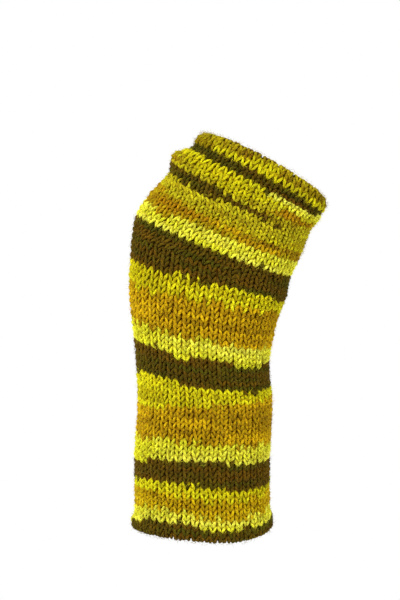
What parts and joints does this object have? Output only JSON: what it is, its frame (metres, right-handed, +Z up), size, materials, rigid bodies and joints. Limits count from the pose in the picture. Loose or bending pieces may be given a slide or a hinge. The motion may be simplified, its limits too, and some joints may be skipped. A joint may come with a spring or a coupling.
{
  "type": "knitted fingerless hand warmer",
  "caption": "Striped wool fingerless mitt, one knitted tube with curled edges and a thumb gap, as worn on a raised right hand.",
  "frame": {"origin": "middle of the hollow at the wrist, where the hand holds the mitt up", "axes": "+Z up along the forearm to the fingers, +X to the little-finger side, -Y out of the back of the hand"},
  "size_m": [0.1145, 0.061, 0.2361],
  "materials": {
    "wool_cloth": "plain knitted worsted wool, stripes of yellow, ochre and dark olive, soft and slightly fuzzy",
    "wool_finger_roll": "knitted wool curled into a round edge, golden yellow",
    "wool_wrist_roll": "knitted wool curled into a round hem, dark olive brown",
    "wool_thumb_edge": "edge stitches of the thumb gap in the same striped wool"
  },
  "bodies": {
    "root": {"cuff_tube": "wool_cloth", "palm_tube": "wool_cloth", "knuckle_tube": "wool_cloth", "finger_roll": "wool_finger_roll", "wrist_roll": "wool_wrist_roll", "thumb_edge": "wool_thumb_edge"}
  },
  "joints": []
}
